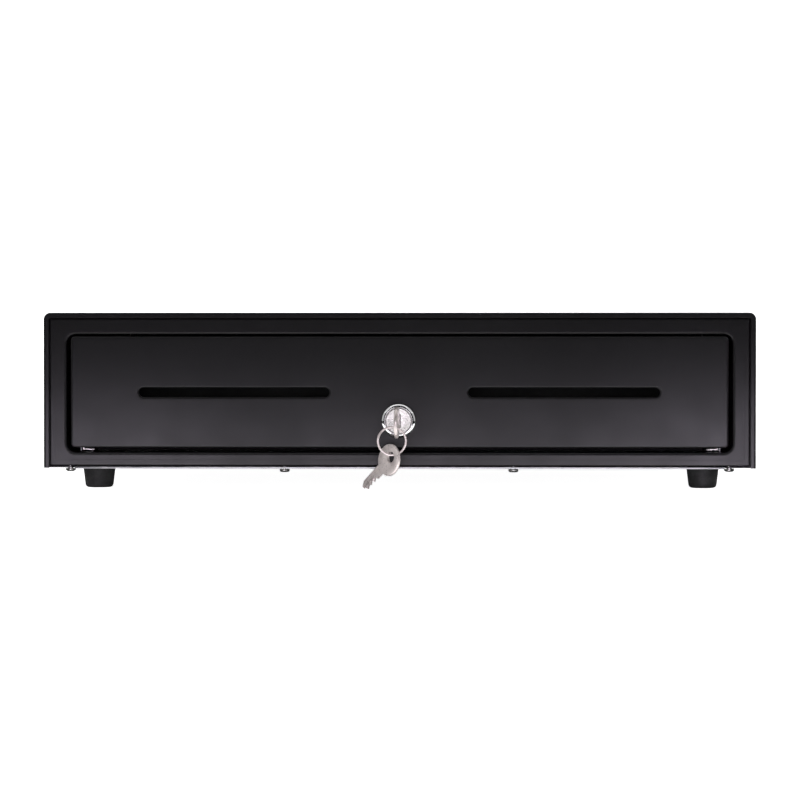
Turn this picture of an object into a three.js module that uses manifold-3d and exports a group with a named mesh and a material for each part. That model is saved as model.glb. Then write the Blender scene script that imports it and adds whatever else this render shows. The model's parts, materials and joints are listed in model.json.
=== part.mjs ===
// Cash drawer: a sheet-steel casing on rubber feet, with a telescopic drawer, a till tray, a keyed
// lock and an electric latch. Millimetres, +Z up, the drawer front faces -Y.
import * as THREE from 'three';
import { mergeVertices } from 'three/addons/utils/BufferGeometryUtils.js';
import Module from 'manifold-3d';

const wasm = await Module();
wasm.setup();

// ---- overall ----
const CASE_W = 410;
const CASE_D = 415;
const CASE_TOP = 102;
const GAP = 0.3;
const SHEET = 1.0;
const PLATE = 1.2;

// ---- keys and lock ----
const LOCK_Z = 39.7;
const LOCK_FLANGE_R = 10;
const LOCK_PROUD = 3.3;
const BARREL_R = 8.3;
const BARREL_END = 22;
const PLUG_R = 7.2;
const PLUG_BORE_R = 7.4;
const PLUG_END = 24.5;
const KEYWAY_W = 3.8;
const KEYWAY_H = 8.4;
const KEYWAY_END = 14;
const KEY_T = 2;
const KEY_HEAD_R = 9.1;
const HUNG_HOLE_R = 4.3;
const SPARE_HOLE_R = 3.2;
const KEY_HOLE_OUT = 2.6;
const KEY_TIP = 26.6;
const KEY_BLADE_W = 6.4;
const KEY_SHOULDER_OUT = 3;
const KEY_YAW = 3;
const KEY_DROOP = 2.5;
const RING_R = 7.95;
const RING_WIRE_R = 0.6;
const RING_CENTRE = [-3.3, 28.7];
const SPARE_HOLE = [-3.4, 19.4];
const SPARE_AXIS = [-16.3, 16.0, -18.1];
const SPARE_NORMAL = [-0.75, -0.655, 0.095];

// the drawing's depth d is measured back from the front lip; the bounding box is centred on the origin
const KEY_REACH = LOCK_PROUD + (KEY_SHOULDER_OUT + 2 * KEY_HEAD_R) * Math.cos(KEY_YAW * Math.PI / 180);
const FRONT_Y = (KEY_REACH - CASE_D) / 2;

// ---- casing ----
const COVER_R = 4;
const COVER_BOTTOM = 12.4;
const LIP_W = 3.2;
const FLANGE_W = 17.7;
const BEZEL_FACE = 0.8;
const BEZEL_BOTTOM = 13.6;
const OPENING_X = 191.75;
const OPENING_Z = [21.4, 89.5];
const OPENING_R = 5.5;
const BEZEL_RETURN = 12;
const PLATE_Z = [12, 13.2];
const BACK_D = 413.6;
const FOOT_X = 176.5;
const FOOT_D = [30, 385];
const FOOT_H = 11.8;
const CASE_SCREW_X = [-190, -66, 66, 190];
const CASE_SCREW_D = 5.5;
const SOCKET_X = 120;
const SOCKET_Z = 46;
const SOCKET_W = 14;
const SOCKET_H = 13;

// ---- slides ----
const SLIDE_Z = [22, 64];
const SLIDE_D = [16, 396];
const SLIDE_WEB_X = 184.6;
const SLIDE_IN_X = 177.6;
const BRACKET_X = [184.9, 186.1];
const BRACKET_TOP = 68;

// ---- drawer ----
const PANEL_X = 189.4;
const PANEL_Z = [24.1, 88.3];
const PANEL_R = 2.3;
const PANEL_BACK = 12.6;
const SLOT_X = 95;
const SLOT_Z = 56;
const SLOT_W = 110;
const SLOT_H = 5.5;
const BOX_X = 175.5;
const BOX_Z = [22.2, 80];
const BOX_D = [13.4, 371.2];
const BOX_WINDOW_HALF = 58;
const BOX_WINDOW_Z = [49.5, 61];

// ---- till ----
const TILL_X = 172.5;
const TILL_D = [45, 365];
const TILL_Z = [33, 83];
const TILL_WALL = 2;
const TILL_MID = 150;
const RIB_X = 161;
const RIB_HALF = 1;
const RIB_D = [60, 355];
const BAYS = 5;
const CLIP_AXIS = [357, 76];
const CLIP_REACH = 97;
const CLIP_DROOP = 21;
const CLIP_ARM_HALF = 7;
const CLIP_ARM_T = 1.8;
const CLIP_ROLLER_R = 3.4;
const CLIP_ROLLER_HALF = 24;

// ---- latch ----
const HOOK_PIVOT = [12, 404];
const HOOK_Z = [49.5, 52.5];
const HOOK_RELEASE = 24;
const HOOK_TAIL = 18;
const HOOK_TAIL_ANGLE = -22;
const STRIKER_PIN_D = 388;
const SHELF_Z = [40, 42];
const SOLENOID_X = 30;
const SOLENOID_D = [374.5, 392];
const LATCH_Z = 51;
const SWITCH_X = [-60, -40];
const SWITCH_D = [386, 396];
const EJECTOR_X = -110;
const EJECTOR_Z = 50;

const deg = (angle) => angle * Math.PI / 180;
const at = (d) => FRONT_Y + d;

// ---- materials ----
const finish = (color, metalness, roughness) =>
  new THREE.MeshStandardMaterial({ color, metalness, roughness });
const BLACK_PAINT = finish(0x2b292e, 0.1, 0.5);
const GALVANISED = finish(0xa9abab, 0.8, 0.45);
const STEEL = finish(0xb4b1ae, 0.85, 0.35);
const CHROME = finish(0xdadada, 1, 0.12);
const RUBBER = finish(0x1b1b1c, 0, 0.8);
const BLACK_PLASTIC = finish(0x202022, 0, 0.55);
const COPPER_COIL = finish(0x8c4a2c, 0.3, 0.5);
const NICKEL = finish(0xbdb2ad, 0.9, 0.3);

// ---- solids ----
function solid(geometry) {
  const bare = geometry.clone();
  bare.deleteAttribute('normal');
  bare.deleteAttribute('uv');
  const merged = mergeVertices(bare, 1e-4);
  return new wasm.Manifold(new wasm.Mesh({
    numProp: 3,
    vertProperties: new Float32Array(merged.attributes.position.array),
    triVerts: new Uint32Array(merged.index.array),
  }));
}

function block([x0, x1], [d0, d1], [z0, z1]) {
  const geometry = new THREE.BoxGeometry(Math.abs(x1 - x0), d1 - d0, z1 - z0);
  geometry.translate((x0 + x1) / 2, at((d0 + d1) / 2), (z0 + z1) / 2);
  return solid(geometry);
}

// an outline in x and z, carried from depth d0 to depth d1
function alongY(shape, d0, d1, curveSegments = 6) {
  const geometry = new THREE.ExtrudeGeometry(shape, { depth: d1 - d0, bevelEnabled: false, curveSegments });
  geometry.rotateX(Math.PI / 2);
  geometry.translate(0, at(d1), 0);
  return solid(geometry);
}

// an outline in x and depth, carried from height z0 to height z1
function alongZ(points, z0, z1) {
  const shape = new THREE.Shape(points.map(([x, d]) => new THREE.Vector2(x, at(d))));
  const geometry = new THREE.ExtrudeGeometry(shape, { depth: z1 - z0, bevelEnabled: false });
  geometry.translate(0, 0, z0);
  return solid(geometry);
}

// an outline in depth and height, carried from x0 to x1
function alongX(points, x0, x1) {
  const shape = new THREE.Shape(points.map(([d, z]) => new THREE.Vector2(at(d), z)));
  const geometry = new THREE.ExtrudeGeometry(shape, { depth: x1 - x0, bevelEnabled: false });
  geometry.rotateX(Math.PI / 2);
  geometry.rotateZ(Math.PI / 2);
  geometry.translate(x0, 0, 0);
  return solid(geometry);
}

function rodY(x, z, radius, [d0, d1], sides = 32) {
  const geometry = new THREE.CylinderGeometry(radius, radius, d1 - d0, sides);
  geometry.translate(x, at((d0 + d1) / 2), z);
  return solid(geometry);
}

function rodZ(x, d, radius, [z0, z1], sides = 24) {
  const geometry = new THREE.CylinderGeometry(radius, radius, z1 - z0, sides);
  geometry.rotateX(Math.PI / 2);
  geometry.translate(x, at(d), (z0 + z1) / 2);
  return solid(geometry);
}

function rodX(d, z, radius, [x0, x1], sides = 20) {
  const geometry = new THREE.CylinderGeometry(radius, radius, x1 - x0, sides);
  geometry.rotateZ(Math.PI / 2);
  geometry.translate((x0 + x1) / 2, at(d), z);
  return solid(geometry);
}

function joined(...solids) {
  return solids.reduce((whole, next) => whole.add(next));
}

function roundedRect(halfX, [z0, z1], radius) {
  const shape = new THREE.Shape();
  shape.moveTo(-halfX + radius, z0);
  shape.lineTo(halfX - radius, z0);
  shape.absarc(halfX - radius, z0 + radius, radius, -Math.PI / 2, 0);
  shape.lineTo(halfX, z1 - radius);
  shape.absarc(halfX - radius, z1 - radius, radius, 0, Math.PI / 2);
  shape.lineTo(-halfX + radius, z1);
  shape.absarc(-halfX + radius, z1 - radius, radius, Math.PI / 2, Math.PI);
  shape.lineTo(-halfX, z0 + radius);
  shape.absarc(-halfX + radius, z0 + radius, radius, Math.PI, 1.5 * Math.PI);
  return shape;
}

const rect = ([x0, x1], [z0, z1]) => new THREE.Shape([
  new THREE.Vector2(x0, z0),
  new THREE.Vector2(x1, z0),
  new THREE.Vector2(x1, z1),
  new THREE.Vector2(x0, z1),
]);

const group = new THREE.Group();

function place(name, material, body) {
  const mesh = body.getMesh();
  const geometry = new THREE.BufferGeometry();
  geometry.setAttribute('position', new THREE.BufferAttribute(mesh.vertProperties, 3));
  geometry.setIndex(new THREE.BufferAttribute(mesh.triVerts, 1));
  const flat = geometry.toNonIndexed();
  flat.computeVertexNormals();
  const piece = new THREE.Mesh(flat, material.clone());
  piece.name = name;
  group.add(piece);
}

// ---- casing ----
function coverOutline(inset) {
  const x = CASE_W / 2 - inset;
  const radius = COVER_R - inset;
  const top = CASE_TOP - inset;
  const shape = new THREE.Shape();
  shape.moveTo(-x, COVER_BOTTOM - inset);
  shape.lineTo(x, COVER_BOTTOM - inset);
  shape.lineTo(x, top - radius);
  shape.absarc(x - radius, top - radius, radius, 0, Math.PI / 2);
  shape.lineTo(-x + radius, top);
  shape.absarc(-x + radius, top - radius, radius, Math.PI / 2, Math.PI);
  return shape;
}

function topCover() {
  const outer = alongY(coverOutline(0), 0, CASE_D);
  const inner = alongY(coverOutline(SHEET), -1, CASE_D + 1);
  const lipHole = alongY(
    rect([-CASE_W / 2 + LIP_W, CASE_W / 2 - LIP_W], [COVER_BOTTOM - 1, CASE_TOP - LIP_W]), -1, SHEET + 1);
  const shell = outer.subtract(inner);
  const lip = alongY(coverOutline(0), 0, SHEET).subtract(lipHole);
  let cover = joined(shell, lip);
  for (const side of [-1, 1]) {
    const edge = side * (CASE_W / 2 - SHEET / 2);
    const tip = side * (CASE_W / 2 - FLANGE_W);
    const flange = block([Math.min(edge, tip), Math.max(edge, tip)], [0.2, CASE_D - 2],
      [COVER_BOTTOM, COVER_BOTTOM + SHEET - 0.1]);
    cover = joined(cover, flange);
  }
  for (const x of CASE_SCREW_X.filter((x) => Math.abs(x) > 100)) {
    cover = cover.subtract(rodZ(x, CASE_SCREW_D, 2.2, [COVER_BOTTOM - 1, COVER_BOTTOM + 2], 16));
  }
  return cover;
}

function frontBezel() {
  const outerX = CASE_W / 2 - LIP_W - GAP;
  const outerZ = [BEZEL_BOTTOM, CASE_TOP - LIP_W - GAP];
  const plate = alongY(rect([-outerX, outerX], outerZ), BEZEL_FACE, BEZEL_FACE + SHEET);
  const fold = alongY(rect([-outerX, outerX], outerZ), BEZEL_FACE, BEZEL_RETURN);
  const foldHole = alongY(
    rect([-outerX + SHEET, outerX - SHEET], [outerZ[0] + SHEET, outerZ[1] - SHEET]), 0, BEZEL_RETURN + 1);
  const lipZ = [OPENING_Z[0] - SHEET, OPENING_Z[1] + SHEET];
  const lip = alongY(roundedRect(OPENING_X + SHEET, lipZ, OPENING_R + SHEET), BEZEL_FACE, BEZEL_RETURN);
  const opening = alongY(roundedRect(OPENING_X, OPENING_Z, OPENING_R), -1, BEZEL_RETURN + 1);
  let bezel = joined(plate, fold.subtract(foldHole), lip).subtract(opening);
  for (const x of CASE_SCREW_X) {
    bezel = bezel.subtract(rodZ(x, CASE_SCREW_D, 2.2, [BEZEL_BOTTOM - 1, BEZEL_BOTTOM + 2], 16));
  }
  return bezel;
}

function backPanel() {
  const halfX = CASE_W / 2 - SHEET - GAP;
  const panel = block([-halfX, halfX], [BACK_D, BACK_D + PLATE],
    [COVER_BOTTOM + SHEET + GAP, CASE_TOP - COVER_R]);
  const cutX = [SOCKET_X - SOCKET_W / 2 - GAP, SOCKET_X + SOCKET_W / 2 + GAP];
  const cutZ = [SOCKET_Z - SOCKET_H / 2 - GAP, SOCKET_Z + SOCKET_H / 2 + GAP];
  return panel.subtract(block(cutX, [BACK_D - 1, BACK_D + 3], cutZ));
}

function cableSocket() {
  const body = block([SOCKET_X - SOCKET_W / 2, SOCKET_X + SOCKET_W / 2], [BACK_D - 12, BACK_D + PLATE + 0.2],
    [SOCKET_Z - SOCKET_H / 2, SOCKET_Z + SOCKET_H / 2]);
  const mouth = block([SOCKET_X - 5, SOCKET_X + 5], [BACK_D - 9, BACK_D + 3], [SOCKET_Z - 4, SOCKET_Z + 4]);
  const tab = block([SOCKET_X - 1.8, SOCKET_X + 1.8], [BACK_D - 9, BACK_D + 3], [SOCKET_Z - 5.4, SOCKET_Z]);
  return body.subtract(mouth).subtract(tab);
}

function bottomPlate() {
  const halfX = CASE_W / 2 - FLANGE_W - GAP;
  let plate = block([-halfX, halfX], [BEZEL_FACE, BACK_D - GAP], PLATE_Z);
  for (const x of CASE_SCREW_X.filter((x) => Math.abs(x) < 100)) {
    plate = plate.subtract(rodZ(x, CASE_SCREW_D, 2.2, [PLATE_Z[0] - 1, PLATE_Z[1] + 1], 16));
  }
  return plate;
}

function caseScrew(x) {
  const bottom = Math.abs(x) > 100 ? COVER_BOTTOM : PLATE_Z[0];
  const head = rodZ(x, CASE_SCREW_D, 2.9, [bottom - 2, bottom - GAP], 20);
  const shank = rodZ(x, CASE_SCREW_D, 1.9, [bottom - 1, 18], 12);
  return joined(head, shank);
}

function foot(x, d) {
  const profile = [[0, 0], [6.1, 0], [7.5, 0.6], [8.2, 2.2], [9.6, FOOT_H], [0, FOOT_H]];
  const geometry = new THREE.LatheGeometry(profile.map(([r, z]) => new THREE.Vector2(r, z)), 24);
  geometry.rotateX(Math.PI / 2);
  geometry.translate(x, at(d), 0);
  return solid(geometry);
}

// ---- slides ----
// a channel lying along the depth, its web on one side and two flanges towards `to`
function channel(side, web, to, z, thickness, flange, depth) {
  const webX = [side * web, side * (web - Math.sign(web - to) * thickness)].sort((a, b) => a - b);
  const flangeX = [side * web, side * to].sort((a, b) => a - b);
  return joined(
    block(webX, depth, z),
    block(flangeX, depth, [z[0], z[0] + flange]),
    block(flangeX, depth, [z[1] - flange, z[1]]),
  );
}

function railBracket(side) {
  const x = BRACKET_X.map((value) => side * value).sort((a, b) => a - b);
  const footX = [side * BRACKET_X[0], side * 199].sort((a, b) => a - b);
  const low = COVER_BOTTOM + SHEET + GAP;
  return joined(
    block(x, [SLIDE_D[0], 405], [low, BRACKET_TOP]),
    block(footX, [SLIDE_D[0], 405], [low, low + PLATE]),
  );
}

function slideOuter(side) {
  return channel(side, SLIDE_WEB_X, SLIDE_IN_X, SLIDE_Z, 1.2, 1.2, SLIDE_D);
}

function slideMiddle(side) {
  return channel(side, 183.1, SLIDE_IN_X, [23.5, 62.5], 1.2, 2.4, [18, 394]);
}

function slideInner(side) {
  return channel(side, BOX_X + GAP, 181.5, [26.2, 59.8], 1.2, 1.2, [18, 370]);
}

// ---- drawer ----
function drawerBox() {
  const outer = block([-BOX_X, BOX_X], BOX_D, BOX_Z);
  const hollow = block([-BOX_X + SHEET, BOX_X - SHEET], [BOX_D[0] + SHEET, BOX_D[1] - SHEET],
    [BOX_Z[0] + SHEET, BOX_Z[1] + 1]);
  let box = outer.subtract(hollow);
  for (const side of [-1, 1]) {
    const window = [side * SLOT_X - BOX_WINDOW_HALF, side * SLOT_X + BOX_WINDOW_HALF];
    box = box.subtract(block(window, [BOX_D[0] - 1, BOX_D[0] + 2], BOX_WINDOW_Z));
  }
  return box.subtract(rodY(0, LOCK_Z, 13, [BOX_D[0] - 1, BOX_D[0] + 2], 24));
}

function drawerFront() {
  const face = alongY(roundedRect(PANEL_X, PANEL_Z, PANEL_R), BEZEL_FACE, PANEL_BACK);
  const hollow = alongY(
    roundedRect(PANEL_X - SHEET, [PANEL_Z[0] + SHEET, PANEL_Z[1] - SHEET], PANEL_R - SHEET),
    BEZEL_FACE + PLATE, PANEL_BACK + 1);
  let panel = face.subtract(hollow);
  for (const side of [-1, 1]) {
    const slot = roundedRect(SLOT_W / 2, [SLOT_Z - SLOT_H / 2, SLOT_Z + SLOT_H / 2], SLOT_H / 2 - 0.05);
    panel = panel.subtract(alongY(slot, 0, 4).translate([side * SLOT_X, 0, 0]));
  }
  return panel.subtract(rodY(0, LOCK_Z, BARREL_R + GAP, [0, 4], 32));
}

function mediaChute(side) {
  const sheet = [[2.3, 52], [15, 51.4], [36, 34], [36.7, 34.7], [15.4, 52.4], [2.3, 53]];
  return alongX(sheet, side * SLOT_X - 56, side * SLOT_X + 56);
}

function striker() {
  const low = block([-9, 9], [BOX_D[1] + GAP, 392], [43.5, 45]);
  const high = block([-9, 9], [BOX_D[1] + GAP, 392], [57, 58.5]);
  const foot = block([-9, 9], [BOX_D[1] + GAP, BOX_D[1] + GAP + 1.5], [43.5, 58.5]);
  const pin = rodZ(0, STRIKER_PIN_D, 2.5, [44, 58], 20);
  return joined(low, high, foot, pin);
}

// ---- lock and keys ----
function lockHousing() {
  const profile = [
    [0, -LOCK_PROUD], [8.6, -LOCK_PROUD], [9.6, -2.4], [LOCK_FLANGE_R, -1.2],
    [LOCK_FLANGE_R, BEZEL_FACE - GAP],
    [BARREL_R, BEZEL_FACE - GAP], [BARREL_R, BARREL_END], [0, BARREL_END],
  ];
  const geometry = new THREE.LatheGeometry(profile.map(([r, d]) => new THREE.Vector2(r, d)), 40);
  geometry.translate(0, FRONT_Y, LOCK_Z);
  return solid(geometry).subtract(rodY(0, LOCK_Z, PLUG_BORE_R, [-5, BARREL_END + 1], 40));
}

function lockNut() {
  const nut = rodY(0, LOCK_Z, 12.4, [BEZEL_FACE + PLATE + GAP, BEZEL_FACE + PLATE + GAP + 4], 6);
  return nut.subtract(rodY(0, LOCK_Z, BARREL_R + 0.25, [0, 10], 32));
}

function lockPlug() {
  const plug = rodY(0, LOCK_Z, PLUG_R, [-LOCK_PROUD + GAP, PLUG_END], 40);
  const keyway = block([-KEYWAY_W / 2, KEYWAY_W / 2], [-5, KEYWAY_END],
    [LOCK_Z - KEYWAY_H / 2, LOCK_Z + KEYWAY_H / 2]);
  return plug.subtract(keyway);
}

function lockCam() {
  const hub = rodY(0, LOCK_Z, 6.5, [PLUG_END + GAP, PLUG_END + GAP + 2.2], 24);
  const finger = block([-2.5, 2.5], [PLUG_END + GAP, PLUG_END + GAP + 2.2], [LOCK_Z - 14, LOCK_Z]);
  return joined(hub, finger);
}

// flat key, drawn from the middle of its round head: blade along +X, thickness along Z
function keyBlank(holeR) {
  const half = KEY_BLADE_W / 2;
  const neck = Math.asin(half / KEY_HEAD_R);
  const shape = new THREE.Shape();
  shape.absarc(0, 0, KEY_HEAD_R, neck, 2 * Math.PI - neck);
  shape.lineTo(KEY_TIP - 3, -half);
  shape.lineTo(KEY_TIP, -0.6);
  shape.lineTo(KEY_TIP, 0.6);
  shape.lineTo(KEY_TIP - 2, half - 1.2);
  for (const [x, cut] of [[22, 1.4], [20, 2.4], [18, 1], [16, 2], [14, 0]]) {
    shape.lineTo(x, half - cut);
  }
  const hole = new THREE.Path();
  hole.absarc(-KEY_HOLE_OUT, 0, holeR, 0, 2 * Math.PI);
  shape.holes.push(hole);
  const geometry = new THREE.ExtrudeGeometry(shape, { depth: KEY_T, bevelEnabled: false, curveSegments: 14 });
  geometry.translate(0, 0, -KEY_T / 2);
  return geometry;
}

function posedKey(axis, normal, hole, holeR) {
  const along = new THREE.Vector3(...axis).normalize();
  const face = new THREE.Vector3(...normal);
  face.addScaledVector(along, -face.dot(along)).normalize();
  const across = new THREE.Vector3().crossVectors(face, along);
  const pose = new THREE.Matrix4().makeBasis(along, across, face);
  const key = keyBlank(holeR);
  key.translate(KEY_HOLE_OUT, 0, 0);
  key.applyMatrix4(pose);
  key.translate(hole[0], at(hole[1]), hole[2]);
  return solid(key);
}

const keyOut = KEY_SHOULDER_OUT + KEY_HEAD_R + KEY_HOLE_OUT;
const HUNG_HOLE = [
  -keyOut * Math.sin(deg(KEY_YAW)),
  -LOCK_PROUD - keyOut * Math.cos(deg(KEY_YAW)),
  LOCK_Z - keyOut * Math.sin(deg(KEY_DROOP)),
];

function insertedKey() {
  const axis = [Math.sin(deg(KEY_YAW)), Math.cos(deg(KEY_YAW)), Math.sin(deg(KEY_DROOP))];
  return posedKey(axis, [1, -Math.tan(deg(KEY_YAW)), 0], HUNG_HOLE, HUNG_HOLE_R);
}

function spareKey() {
  const hole = [SPARE_HOLE[0], HUNG_HOLE[1], SPARE_HOLE[1]];
  return posedKey(SPARE_AXIS, SPARE_NORMAL, hole, SPARE_HOLE_R);
}

function keyRing() {
  const ring = new THREE.TorusGeometry(RING_R, RING_WIRE_R, 10, 36);
  ring.rotateX(Math.PI / 2);
  ring.translate(RING_CENTRE[0], at(HUNG_HOLE[1]), RING_CENTRE[1]);
  return solid(ring);
}

// ---- till ----
const bayPitch = (2 * TILL_X - 2 * TILL_WALL) / BAYS;
const bayX = (bay) => -TILL_X + TILL_WALL + (bay - 0.5) * bayPitch;

function tillTray() {
  const floor = TILL_Z[0] + TILL_WALL;
  const inner = TILL_X - TILL_WALL;
  const outer = block([-TILL_X, TILL_X], TILL_D, TILL_Z);
  const coins = block([-inner, inner], [TILL_D[0] + TILL_WALL, TILL_MID - 1], [floor, TILL_Z[1] + 1]);
  const bills = block([-inner, inner], [TILL_MID + 1, TILL_D[1] - TILL_WALL], [floor, TILL_Z[1] + 1]);
  let tray = outer.subtract(coins).subtract(bills);
  for (const side of [-1, 1]) {
    const ribX = [side * RIB_X - RIB_HALF, side * RIB_X + RIB_HALF];
    tray = joined(tray, block(ribX, RIB_D, [BOX_Z[0] + SHEET + GAP, TILL_Z[0] + 1]));
  }
  return tray.subtract(rodX(...CLIP_AXIS, 2.3, [-TILL_X - 1, TILL_X + 1]));
}

function billDivider(n) {
  const x = -TILL_X + TILL_WALL + n * bayPitch;
  return block([x - 1, x + 1], [TILL_MID + 1 + GAP, CLIP_AXIS[0] - 4], [TILL_Z[0] + TILL_WALL + GAP, 80]);
}

function coinCup(bay) {
  const halfX = bayPitch / 2 - GAP;
  const d = [TILL_D[0] + TILL_WALL + GAP, TILL_MID - 1 - GAP];
  const z = [TILL_Z[0] + TILL_WALL + GAP, 78];
  const cup = block([bayX(bay) - halfX, bayX(bay) + halfX], d, z);
  const hollow = [
    [d[0] + 1.6, z[1] + 1], [d[0] + 1.6, z[0] + 20], [d[0] + 14, z[0] + 6], [d[0] + 34, z[0] + 1.6],
    [d[1] - 12, z[0] + 1.6], [d[1] - 1.6, z[0] + 10], [d[1] - 1.6, z[1] + 1],
  ];
  return cup.subtract(alongX(hollow, bayX(bay) - halfX + 1.6, bayX(bay) + halfX - 1.6));
}

function clipShaft() {
  return rodX(...CLIP_AXIS, 2, [-TILL_X + 0.2, TILL_X - 0.2]);
}

function billClip(bay) {
  const [d, z] = CLIP_AXIS;
  const x = bayX(bay);
  const slope = [Math.cos(deg(CLIP_DROOP)), Math.sin(deg(CLIP_DROOP))];
  const reach = (far, lift) => [d - far * slope[0] - lift * slope[1], z - far * slope[1] + lift * slope[0]];
  const hub = rodX(d, z, 4.5, [x - 9, x + 9], 24);
  const half = CLIP_ARM_T / 2;
  const side = [reach(0, -half), reach(0, half), reach(CLIP_REACH, half), reach(CLIP_REACH, -half)];
  const arm = alongX(side, x - CLIP_ARM_HALF, x + CLIP_ARM_HALF);
  const rollerX = [x - CLIP_ROLLER_HALF, x + CLIP_ROLLER_HALF];
  const roller = rodX(...reach(CLIP_REACH, 0), CLIP_ROLLER_R, rollerX, 16);
  return joined(hub, arm, roller).subtract(rodX(d, z, 2.25, [x - 10, x + 10], 20));
}

// ---- latch ----
function latchHook() {
  const [px, pd] = HOOK_PIVOT;
  const tailAngle = deg(HOOK_TAIL_ANGLE);
  const tail = [px + HOOK_TAIL * Math.cos(tailAngle), pd + HOOK_TAIL * Math.sin(tailAngle)];
  const arm = [[-4, 379], [7, 379], [18, 396], [18, 404], [8, 407], [6, 398], [5, 384.8], [-4, 384.8]];
  const bridge = [[px, pd - 4], [tail[0], tail[1] - 2.6], [tail[0], tail[1] + 2.6], [px, pd + 4]];
  const hook = joined(
    alongZ(arm, ...HOOK_Z),
    rodZ(px, pd, 6.5, HOOK_Z),
    alongZ(bridge, ...HOOK_Z),
    rodZ(...tail, 3, HOOK_Z, 20),
  ).subtract(rodZ(px, pd, 3.2, [HOOK_Z[0] - 1, HOOK_Z[1] + 1]));
  return hook.translate([-px, -at(pd), 0]).rotate([0, 0, HOOK_RELEASE]).translate([px, at(pd), 0]);
}

function latchBracket() {
  return joined(
    block([4, 44], [374.5, 412], SHELF_Z),
    block([4, 19], [397, 412], [SHELF_Z[0], HOOK_Z[0] - 1]),
    block([4, 44], [410.5, 412], [PLATE_Z[1] + GAP, SHELF_Z[1]]),
    block([4, 44], [396, 412], [PLATE_Z[1] + GAP, PLATE_Z[1] + GAP + 1.5]),
  );
}

function latchPin() {
  const base = HOOK_Z[0] - 1 + 0.2;
  return joined(rodZ(...HOOK_PIVOT, 3, [base, 54]), rodZ(...HOOK_PIVOT, 4.6, [HOOK_Z[1] + 0.4, 55]));
}

function solenoid() {
  const low = SHELF_Z[1] + GAP;
  const body = block([SOLENOID_X - 9, SOLENOID_X + 9], SOLENOID_D, [low, 2 * LATCH_Z - low]);
  return body.subtract(rodY(SOLENOID_X, LATCH_Z, 3.3, [SOLENOID_D[0] + 2, SOLENOID_D[1] + 1], 24));
}

function solenoidPlunger() {
  const [px, pd] = HOOK_PIVOT;
  const released = deg(HOOK_TAIL_ANGLE + HOOK_RELEASE);
  const tip = pd + HOOK_TAIL * Math.sin(released) - 3 - 0.35;
  return rodY(px + HOOK_TAIL, LATCH_Z, 3, [SOLENOID_D[0] + 10.5, tip], 24);
}

function drawerSwitch() {
  const [x0, x1] = SWITCH_X;
  const base = PLATE_Z[1] + GAP;
  return joined(
    block(SWITCH_X, SWITCH_D, [24, 38]),
    block([x0, x0 + 6], [SWITCH_D[0] - 3.6, SWITCH_D[0] + 1], [24, 26.5]),
    block([x0, x0 + 6], [SWITCH_D[0] - 3.6, SWITCH_D[0] + 1], [35.5, 38]),
    block([x0 - 2, x1 + 2], [SWITCH_D[1] - 0.5, SWITCH_D[1] + 1.5], [base, 38]),
    block([x0 - 2, x1 + 2], [SWITCH_D[1] - 0.5, SWITCH_D[1] + 12], [base, base + 1.5]),
  );
}

function switchLever() {
  const pivot = [SWITCH_X[0] + 3, SWITCH_D[0] - 2];
  const tip = [[-38, 374], [-36.5, 374.6], [-37, 376]];
  const blade = [[pivot[0], pivot[1] - 0.6], ...tip, [pivot[0], pivot[1] + 0.6]];
  return joined(alongZ(blade, 27.5, 34.5), rodZ(...pivot, 1.5, [26.8, 35.2], 16));
}

function ejectorGuide() {
  const tube = rodY(EJECTOR_X, EJECTOR_Z, 7, [386, 412], 28);
  const bore = rodY(EJECTOR_X, EJECTOR_Z, 5.2, [385, 410], 28);
  return joined(
    tube,
    block([EJECTOR_X - 10, EJECTOR_X + 10], [410, 412], [PLATE_Z[1] + GAP, EJECTOR_Z]),
    block([EJECTOR_X - 10, EJECTOR_X + 10], [398, 412], [PLATE_Z[1] + GAP, PLATE_Z[1] + GAP + 1.5]),
  ).subtract(bore);
}

function ejectorPlunger() {
  return joined(
    rodY(EJECTOR_X, EJECTOR_Z, 4.9, [373, 398], 24),
    rodY(EJECTOR_X, EJECTOR_Z, 7.5, [BOX_D[1] + 0.4, 375], 24),
  );
}

place('top_cover', BLACK_PAINT, topCover());
place('front_bezel', BLACK_PAINT, frontBezel());
place('back_panel', BLACK_PAINT, backPanel());
place('bottom_plate', GALVANISED, bottomPlate());
place('cable_socket', BLACK_PLASTIC, cableSocket());
CASE_SCREW_X.forEach((x, n) => place(`case_screw_${n + 1}`, STEEL, caseScrew(x)));
for (const [end, d] of [['front', FOOT_D[0]], ['rear', FOOT_D[1]]]) {
  place(`foot_${end}_left`, RUBBER, foot(-FOOT_X, d));
  place(`foot_${end}_right`, RUBBER, foot(FOOT_X, d));
}
for (const [hand, side] of [['left', -1], ['right', 1]]) {
  place(`rail_bracket_${hand}`, GALVANISED, railBracket(side));
  place(`slide_outer_${hand}`, GALVANISED, slideOuter(side));
  place(`slide_middle_${hand}`, GALVANISED, slideMiddle(side));
  place(`slide_inner_${hand}`, GALVANISED, slideInner(side));
  place(`media_chute_${hand}`, GALVANISED, mediaChute(side));
}
place('drawer_box', BLACK_PAINT, drawerBox());
place('drawer_front', BLACK_PAINT, drawerFront());
place('striker', STEEL, striker());
place('lock_housing', CHROME, lockHousing());
place('lock_nut', STEEL, lockNut());
place('lock_plug', CHROME, lockPlug());
place('lock_cam', STEEL, lockCam());
place('key_inserted', NICKEL, insertedKey());
place('key_ring', NICKEL, keyRing());
place('key_spare', NICKEL, spareKey());
place('till_tray', BLACK_PLASTIC, tillTray());
for (let n = 1; n < BAYS; n += 1) {
  place(`bill_divider_${n}`, BLACK_PLASTIC, billDivider(n));
}
for (let bay = 1; bay <= BAYS; bay += 1) {
  place(`coin_cup_${bay}`, BLACK_PLASTIC, coinCup(bay));
  place(`bill_clip_${bay}`, STEEL, billClip(bay));
}
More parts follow.
